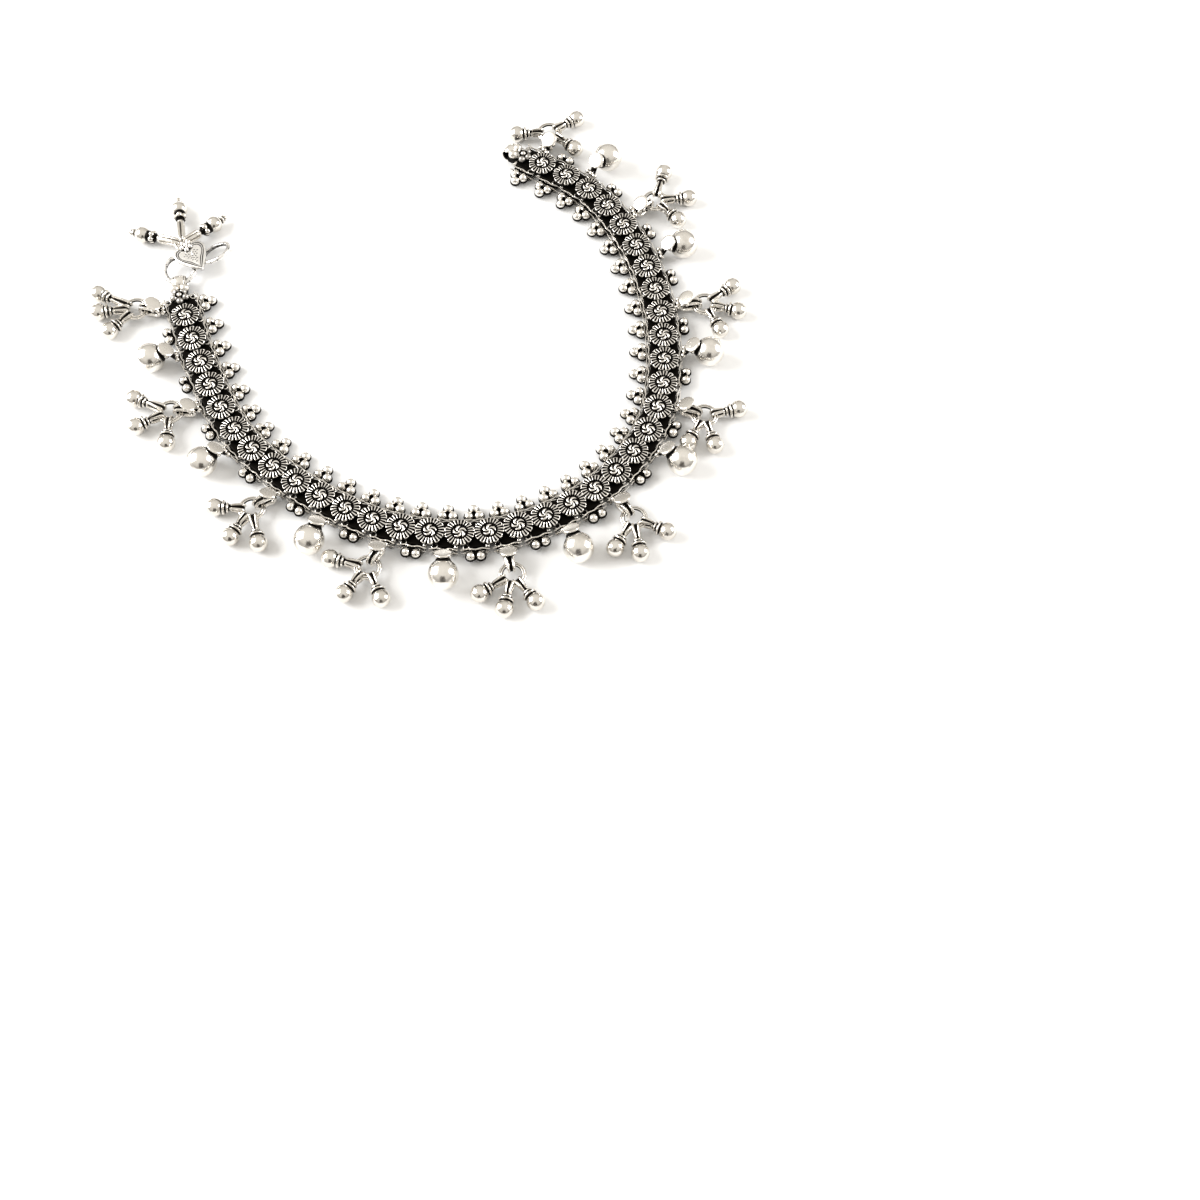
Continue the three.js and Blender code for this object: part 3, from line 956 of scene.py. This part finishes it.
@dataclass
class EndPiece:
    """A five-petalled granule flower, two larger granules and the barrel across the band's end."""

    name: str
    node: str
    seat: Seat
    clear: float
    reach: float
    barrel: float = 1.88
    bore: float = 1.42
    length: float = 3.2
    height: float = 1.9

    def build(self) -> Shape:
        """Builds the end piece in the row's frame.

        Returns:
            The end piece's shape.
        """
        pieces = [turned([(0.6, 2.72, 1), (1.5, 2.74, 1), (1.6, 2.9, 1), (1.3, 3.0, 1)], 20)]
        for petal in range(5):
            angle = 72 * petal + 36
            place = away((0, 0), 1.42, angle)
            petal_shape = granule(0.86, 18, 12).moved((*place, 2.95))
            pieces.append(petal_shape.blackened(
                lambda p: np.maximum(0.52, smooth(1.2, 0.9, np.hypot(p[:, 0], p[:, 1])))))
        pieces.append(granule(0.64, 16, 10).moved((0, 0, 3.42)))
        for side in (-1, 1):
            pieces.append(granule(1.14, 20, 14).moved((2.3, side * 1.14, 2.9)))
        foot = np.array([[self.clear, -1.6], [self.reach, -1.6], [self.reach, 1.6], [self.clear, 1.6]])
        pieces.append(slab(foot, [(0.1, 0.05, 1.0), (0.0, 0.15, 0.9), (0.0, 1.9, 0.9), (0.15, 2.05, 0.9)]))
        post = np.array([[self.clear, -1.1], [self.clear + 1.0, -1.1], [self.clear + 1.0, 1.1],
                         [self.clear, 1.1]])
        pieces.append(slab(post, [(0.1, 1.5, 1.0), (0.0, 1.6, 1.0), (0.0, 2.9, 1.0), (0.1, 3.0, 1.0)]))
        pieces.append(self.tube().moved((self.reach, 0, self.height), (90, 0, 0)))
        return self.seat.set(joined(pieces))

    def tube(self) -> Shape:
        """The open barrel along Z, with rolled ends and two turned lines.

        Returns:
            The barrel.
        """
        half = self.length / 2
        rim, belly = self.barrel - 0.22, self.barrel
        end = [(self.bore, 0.3, 0.9), (self.bore + 0.12, 0.06, 0.4), (rim - 0.06, 0.0, 0.1),
               (rim, 0.12, 0.0), (rim + 0.04, 0.3, 0.1), (rim - 0.06, 0.4, 1.0),
               (rim + 0.06, 0.5, 0.1), (belly - 0.04, 0.9, 0.0)]
        rows = ([(r, z - half, g) for r, z, g in end] + [(belly, 0.0, 0.0)]
                + [(r, half - z, g) for r, z, g in end[::-1]])
        table = np.array(rows)
        sides = 40
        angle = np.arange(sides) * 2 * math.pi / sides
        rings = np.stack([table[:, :1] * np.cos(angle), table[:, :1] * np.sin(angle),
                          np.broadcast_to(table[:, 1:2], (len(rows), sides))], axis=-1)
        return skin(rings, table[:, 2], closed=True)

    def dress(self, shop: Workshop) -> bpy.types.Object:
        """Makes the end piece."""
        return shop.make(self.name, self.build(), Slot.BAND, self.node)


@dataclass
class Clasp:
    """The hook of two wire loops and a heart plate, and the three tipped charms at its cleft.

    Attributes:
        barrel: The middle of the barrel that the hook's loop runs through.
    """

    barrel: Point
    loop: float = 3.55
    wire: float = 0.58
    heart: float = 4.45
    lift: float = 3.1
    rise: float = 9.0
    barrel_height: float = 1.9
    loop_way: float = 96.0
    heart_way: float = 40.0
    cleft_way: float = 126.0
    free_way: float = 24.0
    free_lean: float = -30.0
    free_height: float = 2.6
    eye_reach: float = 4.01
    ring: float = 1.7
    charms: tuple[Point, Point, Point] = ((161, 10.9), (101, 11.6), (45, 9.6))
    plate_reach: float = 4.4
    free_reach: float = 5.3
    free_turn: float = 26.0

    def places(self) -> dict[str, Point]:
        """Where the clasp's parts lie.

        Returns:
            The middles of the loop, plate, free loop, eye and small ring.
        """
        loop = away(self.barrel, self.loop, self.loop_way)
        plate = away(loop, self.plate_reach, self.heart_way)
        eye = away(plate, self.eye_reach, self.cleft_way)
        return {"loop": loop, "plate": plate, "free": away(plate, self.free_reach, self.free_way),
                "eye": eye, "ring": away(eye, self.ring, self.cleft_way)}

    def heart_outline(self, size: float) -> np.ndarray:
        """A heart with its cleft towards +X.

        Args:
            size: From its middle to its tip.

        Returns:
            Points by XY, going left round.
        """
        knots = np.array([[0.5, 0.0], [0.74, 0.1], [0.9, 0.3], [0.95, 0.52], [0.86, 0.74],
                          [0.66, 0.88], [0.4, 0.9], [0.1, 0.8], [-0.22, 0.62], [-0.58, 0.36],
                          [-0.86, 0.12], [-1.0, 0.0]])
        outline = np.vstack([knots, knots[1:-1][::-1] * np.array([1, -1])])
        for _ in range(2):
            follow = np.roll(outline, -1, axis=0)
            outline = np.stack([0.75 * outline + 0.25 * follow, 0.25 * outline + 0.75 * follow],
                               axis=1).reshape(-1, 2)
        return outline * size

    def plate(self) -> list[Shape]:
        """The heart plate: two bright rims, a beaded groove and a pebbled field with slanted dashes.

        Returns:
            The plate's shapes, its foot at z = 0.
        """
        outline = self.heart_outline(self.heart * 0.99)
        layers = [(0.12, 0.0, 0.9), (0.0, 0.12, 0.6), (0.0, 0.66, 0.05), (0.1, 0.8, 0.0),
                  (0.48, 0.84, 0.0), (0.53, 0.7, 1.0), (0.72, 0.7, 1.0), (0.77, 0.84, 0.0),
                  (0.98, 0.84, 0.0), (1.03, 0.7, 1.0), (1.2, 0.7, 1.0), (1.25, 0.8, 0.0),
                  (1.5, 0.82, 0.0), (2.4, 0.86, 0.0)]
        pieces = [slab(outline, layers)]
        for row in range(-3, 4):
            for column in range(-3, 3):
                x, y = column * 0.66 + 0.4 + 0.22 * (row % 2), row * 0.58
                if x < -1.9 + abs(y) * 1.5 or abs(y) > 1.9 or x > 1.9 or (x > 1.0 and abs(y) < 0.5):
                    continue
                path = np.array([[-0.2, -0.1, 0], [0.0, 0.04, 0], [0.2, 0.08, 0]])
                dash = wire(path, 0.06, 0.08, (0, 0, 1), 1.0, False, 6)
                dash.oxide_and_shade[:] = 1.0
                pieces.append(dash.moved((x, y, 0.86), (0, 0, 35 * (row - column))))
        return pieces

    def hammered(self, points: np.ndarray) -> np.ndarray:
        """How dark the hammer marks leave a ring's wire."""
        angle = np.arctan2(points[:, 1], points[:, 0])
        across = np.hypot(points[:, 0], points[:, 1]) - self.loop
        marks = np.sin(13 * angle + 5 * across) + 0.7 * np.sin(29 * angle - 4 * across + 1.0)
        return 0.7 * smooth(0.5, 1.1, marks)

    def hook(self) -> Shape:
        """Builds the hook in the row's frame.

        Returns:
            The hook's shape.
        """
        at = self.places()
        ring = wire(circle_path(self.loop, 72), self.wire * 0.85, self.wire, (0, 0, 1), 0.6, True, 14)
        ring = ring.blackened(self.hammered)
        low = self.barrel_height + self.loop * math.sin(math.radians(self.rise))
        bridge = away(at["plate"], 2.3, self.cleft_way)
        flower = away(at["plate"], 3.7, self.cleft_way)
        eye = wire(circle_path(1.2, 24), 0.33, 0.33, (0, 0, 1), 0.5, True, 10)
        stem = wire(np.array([[-0.9, 0, 0], [0, 0, 0], [0.9, 0, 0]]), 0.35, 0.4, (0, 0, 1), 1.0, False, 8)
        pieces = [
            ring.moved((*at["loop"], low), (0, -self.rise, self.loop_way)),
            joined(self.plate()).moved((*at["plate"], self.lift), (0, 0, self.cleft_way)),
            ring.moved((*at["free"], self.free_height), (self.free_lean, 0, self.free_way + self.free_turn)),
            eye.moved((*at["eye"], self.lift), (90, 0, self.cleft_way)),
            stem.moved((*bridge, self.lift + 0.4), (0, 0, self.cleft_way)),
            granule(0.5, 14, 9).moved((*flower, self.lift + 1.3)),
            turned([(0.6, 0.2, 1), (1.45, 0.3, 1), (1.5, 0.45, 1), (1.2, 0.6, 1)], 20).moved(
                (*flower, self.lift + 0.35)),
        ]
        for petal in range(5):
            pieces.append(granule(0.56, 14, 9).moved((*away(flower, 1.05, 72 * petal), self.lift + 1.05)))
        return joined(pieces)

    def charm(self, reach: float) -> Shape:
        """One charm along +X: an eye, a ring of grains, a ball and a stepped tip.

        Args:
            reach: From the small ring's middle to the ball's.

        Returns:
            The charm.
        """
        radius = 1.95
        neck = reach - 2.05
        profile = [(0.3, neck - 2.9, 1.0), (0.7, neck - 2.8, 0.6), (0.88, neck - 2.6, 0.0),
                   (0.86, neck - 2.35, 0.1), (0.6, neck - 2.2, 1.0), (0.8, neck - 1.6, 1.0),
                   (1.15, neck - 1.45, 1.0), (1.15, neck - 1.25, 1.0), (0.7, neck - 1.15, 1.0),
                   (0.7, neck - 0.2, 1.0), (1.35, neck - 0.05, 1.0), (1.38, neck + 0.2, 1.0)]
        profile += ball_profile(radius, 1.3, reach, 26, 0.2)[:-3]
        tip = reach + radius
        profile += [(0.55, tip - 0.12, 1.0), (0.75, tip - 0.02, 1.0), (0.98, tip + 0.16, 0.1),
                    (1.04, tip + 0.38, 0.0), (0.96, tip + 0.56, 0.1), (0.58, tip + 0.66, 1.0),
                    (0.6, tip + 0.8, 1.0), (0.78, tip + 0.9, 0.05), (0.78, tip + 1.15, 0.1),
                    (0.46, tip + 1.25, 1.0), (0.52, tip + 1.35, 0.3), (0.48, tip + 1.7, 0.05),
                    (0.25, tip + 1.85, 0.1)]
        pieces = [turned(profile, 28).moved((0, 0, 0), (0, 90, 0))]
        for grain in range(5):
            y, z = away((0, 0), 0.95, 72 * grain + 18)
            pieces.append(granule(0.7, 16, 11).moved((neck - 0.7, y, z)))
        pieces.append(formed_loop(self.ring - 0.9, neck - 2.55, 0.62, 0.8, 0.37, -0.1))
        return joined(pieces)

    def charm_set(self) -> Shape:
        """Builds the small ring with its three charms in the row's frame.

        Returns:
            Their shape.
        """
        at = self.places()
        pieces = [wire(circle_path(self.ring, 30), 0.33, 0.33, (0, 0, 1), 0.4, True, 10)]
        for way, reach in self.charms:
            fall = math.degrees(math.asin((self.lift - 2.0) / reach))
            pieces.append(self.charm(reach).moved((0, 0, 0), (0, fall, way)))
        return joined(pieces).moved((*at["ring"], self.lift))

    def dress(self, shop: Workshop) -> list[bpy.types.Object]:
        """Makes the hook and the charms."""
        return [shop.make("heart_hook", self.hook(), Slot.HOOK, "clasp_hook"),
                shop.make("heart_charms", self.charm_set(), Slot.DROP, "clasp_charms")]


# ---- the table, the light and the camera -------------------------------------------------------
@dataclass
class Studio:
    """A white table under soft light, with dark cards for the metal to mirror."""

    eye: Place = (43.28, -239.78, 341.47)
    look_down: float = 63.0
    focal_share: float = 1757 / 1200
    floor_size: float = 4.0
    card_left: float = -0.12
    card_right: float = 0.16
    card_back: float = -0.42
    card_low: float = 0.06
    card_high: float = 0.42
    film_width: float = 36.0

    def plain(self, name: str, colour: tuple[float, float, float], rough: float) -> bpy.types.Material:
        """A plain material for the table or a card."""
        made = bpy.data.materials.new(name)
        made.use_nodes = True
        shader = made.node_tree.nodes["Principled BSDF"]
        shader.inputs["Base Color"].default_value = (*colour, 1.0)
        shader.inputs["Roughness"].default_value = rough
        return made

    def card(self, name: str, corners: Sequence[Place], material: bpy.types.Material) -> bpy.types.Object:
        """A flat stage card.

        Args:
            name: Its name.
            corners: Its corners in metres.
            material: Its material.

        Returns:
            The card.
        """
        mesh = bpy.data.meshes.new(name)
        mesh.from_pydata(list(corners), [], [tuple(range(len(corners)))])
        mesh.materials.append(material)
        made = bpy.data.objects.new(name, mesh)
        bpy.context.scene.collection.objects.link(made)
        return made

    def lamp(self, name: str, place: Place, size: float, power: float,
             colour: tuple[float, float, float]) -> None:
        """A soft square lamp that looks at the origin.

        Args:
            name: Its name.
            place: Where it hangs, in metres.
            size: Its side in metres.
            power: Its power in watts.
            colour: Its colour.
        """
        data = bpy.data.lights.new(name, "AREA")
        data.size, data.energy, data.color = size, power, colour
        made = bpy.data.objects.new(name, data)
        made.location = place
        direction = -made.location.normalized()
        made.rotation_euler = direction.to_track_quat("-Z", "Y").to_euler()
        made.visible_camera = False
        bpy.context.scene.collection.objects.link(made)

    def sky(self) -> None:
        """A white room that is brightest overhead and dim at the horizon."""
        world = bpy.data.worlds.new("pale_room")
        world.use_nodes = True
        nodes, links = world.node_tree.nodes, world.node_tree.links
        place = nodes.new("ShaderNodeTexCoord")
        split = nodes.new("ShaderNodeSeparateXYZ")
        ramp = nodes.new("ShaderNodeValToRGB")
        steps = ramp.color_ramp.elements
        steps[0].position, steps[0].color = 0.0, (0.2, 0.19, 0.18, 1)
        steps[1].position, steps[1].color = 1.0, (0.95, 0.92, 0.865, 1)
        for position, colour in ((0.15, (0.46, 0.44, 0.41, 1)), (0.42, (0.76, 0.73, 0.675, 1))):
            steps.new(position).color = colour
        links.new(place.outputs["Generated"], split.inputs[0])
        links.new(split.outputs["Z"], ramp.inputs["Fac"])
        # a bare stretch of the room is seen as pale as the table, while the metal mirrors the ramp
        seen = nodes.new("ShaderNodeLightPath")
        backdrop = nodes.new("ShaderNodeMix")
        backdrop.data_type = "RGBA"
        links.new(seen.outputs["Is Camera Ray"], backdrop.inputs["Factor"])
        links.new(ramp.outputs["Color"], backdrop.inputs["A"])
        backdrop.inputs["B"].default_value = (0.93, 0.93, 0.93, 1)
        links.new(backdrop.outputs["Result"], nodes["Background"].inputs["Color"])
        bpy.context.scene.world = world

    def build(self) -> None:
        """Builds the table, card, lamps and camera."""
        white = self.plain("white_table", (0.86, 0.86, 0.86), 0.7)
        black = self.plain("black_card", (0.04, 0.035, 0.03), 0.9)
        half = self.floor_size / 2
        self.card("table", [(-half, -half, 0), (half, -half, 0), (half, half, 0), (-half, half, 0)], white)
        back, low, high = self.card_back, self.card_low, self.card_high
        corners = [(self.card_left, back, low), (self.card_right, back, low),
                   (self.card_right, back, high), (self.card_left, back, high)]
        dark = self.card("dark_card", corners, black)
        dark.visible_camera = False
        self.sky()
        self.lamp("left_softbox", (-1.0, 0.15, 0.62), 0.85, 22.0, (1.0, 1.0, 1.0))
        self.lamp("right_softbox", (1.0, 0.12, 0.45), 0.5, 8.0, (1.0, 1.0, 1.0))
        data = bpy.data.cameras.new("camera")
        data.sensor_width = self.film_width
        data.lens = self.film_width * self.focal_share
        data.clip_start = 0.01
        camera = bpy.data.objects.new("camera", data)
        camera.location = tuple(value * MM for value in self.eye)
        camera.rotation_euler = (math.radians(90 - self.look_down), 0.0, 0.0)
        bpy.context.scene.collection.objects.link(camera)
        bpy.context.scene.camera = camera
        bpy.context.scene.view_settings.view_transform = "Standard"


# ---- where the two end pieces sit --------------------------------------------------------------
START_SHARE = -0.37    # of a pitch, how far ahead of the first link's middle
FINISH_SHARE = 0.3     # of a pitch, how far ahead of the last link's middle
HOOK_END_WAY = 98.0    # degrees, the way the end piece faces
HOOK_END_REACH = 4.6   # from the flower's middle to the barrel's
OPEN_END_WAY = 150.0
OPEN_END_REACH = 3.6


def main() -> None:
    """Builds the anklet, from the studio to the clasp."""
    logging.basicConfig(level=logging.INFO, format="%(name)s: %(message)s")
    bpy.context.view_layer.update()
    Studio().build()
    shop = Workshop()
    seats = link_seats()
    rosette = Rosette().build()
    chance = np.random.default_rng(7)
    for number, seat in enumerate(seats, start=1):
        Link(number, seat, rosette, chance).dress(shop)
    for order, number in enumerate(BELL_LEANS, start=1):
        Bell(order, number, seats[number - 1]).dress(shop)
    for order, number in enumerate(CLUSTERS, start=1):
        DropCluster(order, number, seats[number - 1], chance).dress(shop)

    first, last = seats[0], seats[-1]
    start = first.ahead(START_SHARE * math.dist(first.place, seats[1].place))
    finish = last.ahead(FINISH_SHARE * math.dist(last.place, seats[-2].place))
    EndPiece("hook_end", "clasp_end", Seat(start, HOOK_END_WAY), clear=1.0, reach=HOOK_END_REACH).dress(shop)
    EndPiece("open_end", "free_end", Seat(finish, OPEN_END_WAY), clear=1.5, reach=OPEN_END_REACH).dress(shop)
    Clasp(away(start, HOOK_END_REACH, HOOK_END_WAY)).dress(shop)


if __name__ == "__main__":
    main()
